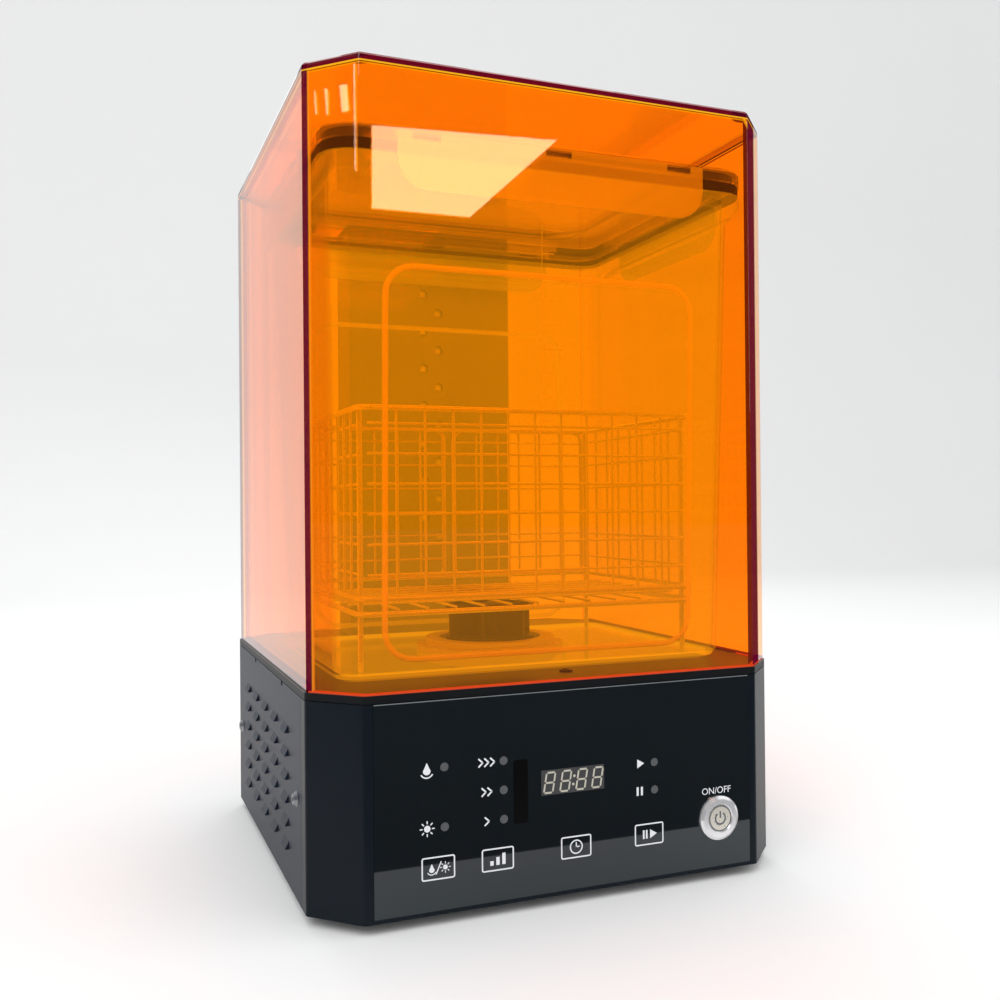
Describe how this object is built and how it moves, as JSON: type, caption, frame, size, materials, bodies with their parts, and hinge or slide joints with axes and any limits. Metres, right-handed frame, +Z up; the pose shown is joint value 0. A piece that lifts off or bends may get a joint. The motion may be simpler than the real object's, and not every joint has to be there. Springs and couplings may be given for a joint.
{
  "type": "dental lab light curing unit",
  "caption": "Wash-and-cure light unit: octagonal base with glossy panel, lift-off amber hood, clear latched tank, wire basket, impeller and upright lamp column.",
  "frame": {"origin": "centre of the footprint, at the level of the feet's undersides", "axes": "+Z up, control panel towards -Y, power button towards +X"},
  "size_m": [0.2894, 0.297, 0.449],
  "materials": {
    "tray_metal": "satin",
    "rubber": "matte",
    "bare_metal": "satin",
    "shell_metal": "satin",
    "black_gloss": "gloss",
    "cover_metal": "fine textured powder coat",
    "deck_black": "satin",
    "dark_plastic": "matte",
    "screw_steel": "polished",
    "screw_black": "satin",
    "board_green": "matte",
    "display_window": "gloss",
    "lamp_lens": "gloss",
    "contact_copper": "satin",
    "button_chrome": "polished",
    "button_face": "satin",
    "motor_metal": "satin",
    "magnet_nickel": "polished",
    "lamp_black": "satin",
    "board_white": "matte",
    "led_face": "gloss",
    "amber_acrylic": "transparent gloss",
    "clear_plastic": "transparent gloss",
    "seat_plastic": "satin",
    "impeller_plastic": "satin",
    "gasket_rubber": "matte",
    "latch_plastic": "transparent gloss",
    "wire_steel": "polished"
  },
  "bodies": {
    "base": {"base_tray": "tray_metal", "rubber_feet": "rubber", "deck_posts": "bare_metal", "front_shell": "shell_metal", "glossy_panel": "black_gloss", "left_side_cover": "cover_metal", "right_side_cover": "cover_metal", "rear_cover": "cover_metal", "deck_plate": "deck_black", "hood_sensor": "dark_plastic", "side_screws": "screw_steel", "rear_screws": "screw_black", "control_board": "board_green", "board_screws": "screw_steel", "display_module": "dark_plastic", "display_lens": "display_window", "indicator_lenses": "lamp_lens", "touch_contacts": "contact_copper", "button_barrel": "button_chrome", "button_nut": "bare_metal", "power_board": "board_green", "power_board_parts": "dark_plastic", "power_socket": "dark_plastic", "motor_plate": "bare_metal", "motor_screws": "screw_steel", "drive_motor": "motor_metal", "lamp_housing": "lamp_black", "lamp_front": "lamp_black", "lamp_board": "board_white", "lamp_leds": "led_face", "lamp_screws": "screw_steel"},
    "hood": {"hood": "amber_acrylic"},
    "button": {"button_cap": "button_face"},
    "rotor": {"motor_shaft": "bare_metal", "drive_rotor": "dark_plastic", "rotor_magnets": "magnet_nickel"},
    "tank": {"tank": "clear_plastic", "impeller_seat": "seat_plastic", "spindle": "bare_metal"},
    "impeller": {"impeller": "impeller_plastic", "impeller_magnets": "magnet_nickel"},
    "lid": {"lid": "clear_plastic", "lid_gasket": "gasket_rubber", "latch_pins": "bare_metal"},
    "front_latch": {"front_latch": "latch_plastic"},
    "rear_latch": {"rear_latch": "latch_plastic"},
    "left_latch": {"left_latch": "latch_plastic"},
    "right_latch": {"right_latch": "latch_plastic"},
    "basket": {"basket_rims": "wire_steel", "basket_legs": "wire_steel", "basket_front": "wire_steel", "basket_rear": "wire_steel", "basket_left": "wire_steel", "basket_right": "wire_steel", "basket_floor": "wire_steel"}
  },
  "joints": [
    {"name": "hood_lift", "type": "slide", "parent": "base", "child": "hood", "axis": [0, 0, 1], "range_m": [0, 0.35]},
    {"name": "button_press", "type": "slide", "parent": "base", "child": "button", "axis": [0, 1, 0], "range_m": [0, 0.0015], "stiffness_N_per_m": 900},
    {"name": "rotor_spin", "type": "hinge", "parent": "base", "child": "rotor", "pos_m": [0, -0.019, 0.11], "axis": [0, 0, 1], "continuous": true},
    {"name": "tank_lift", "type": "slide", "parent": "base", "child": "tank", "axis": [0, 0, 1], "range_m": [0, 0.01]},
    {"name": "impeller_spin", "type": "hinge", "parent": "tank", "child": "impeller", "pos_m": [0, -0.019, 0.137], "axis": [0, 0, 1], "continuous": true},
    {"name": "lid_lift", "type": "slide", "parent": "tank", "child": "lid", "axis": [0, 0, 1], "range_m": [0, 0.012]},
    {"name": "front_latch_swing", "type": "hinge", "parent": "lid", "child": "front_latch", "pos_m": [0, -0.1309, 0.414], "axis": [-1, 0, 0], "range_deg": [0, 14]},
    {"name": "rear_latch_swing", "type": "hinge", "parent": "lid", "child": "rear_latch", "pos_m": [0, 0.0929, 0.414], "axis": [1, 0, 0], "range_deg": [0, 9]},
    {"name": "left_latch_swing", "type": "hinge", "parent": "lid", "child": "left_latch", "pos_m": [-0.1339, -0.019, 0.414], "axis": [0, 1, 0], "range_deg": [0, 4]},
    {"name": "right_latch_swing", "type": "hinge", "parent": "lid", "child": "right_latch", "pos_m": [0.1339, -0.019, 0.414], "axis": [0, -1, 0], "range_deg": [0, 4]},
    {"name": "basket_lift", "type": "slide", "parent": "tank", "child": "basket", "axis": [0, 0, 1], "range_m": [0, 0.13]}
  ],
  "couplings": [
    {"joint": "impeller_spin", "follows": "rotor_spin", "ratio": 1}
  ]
}
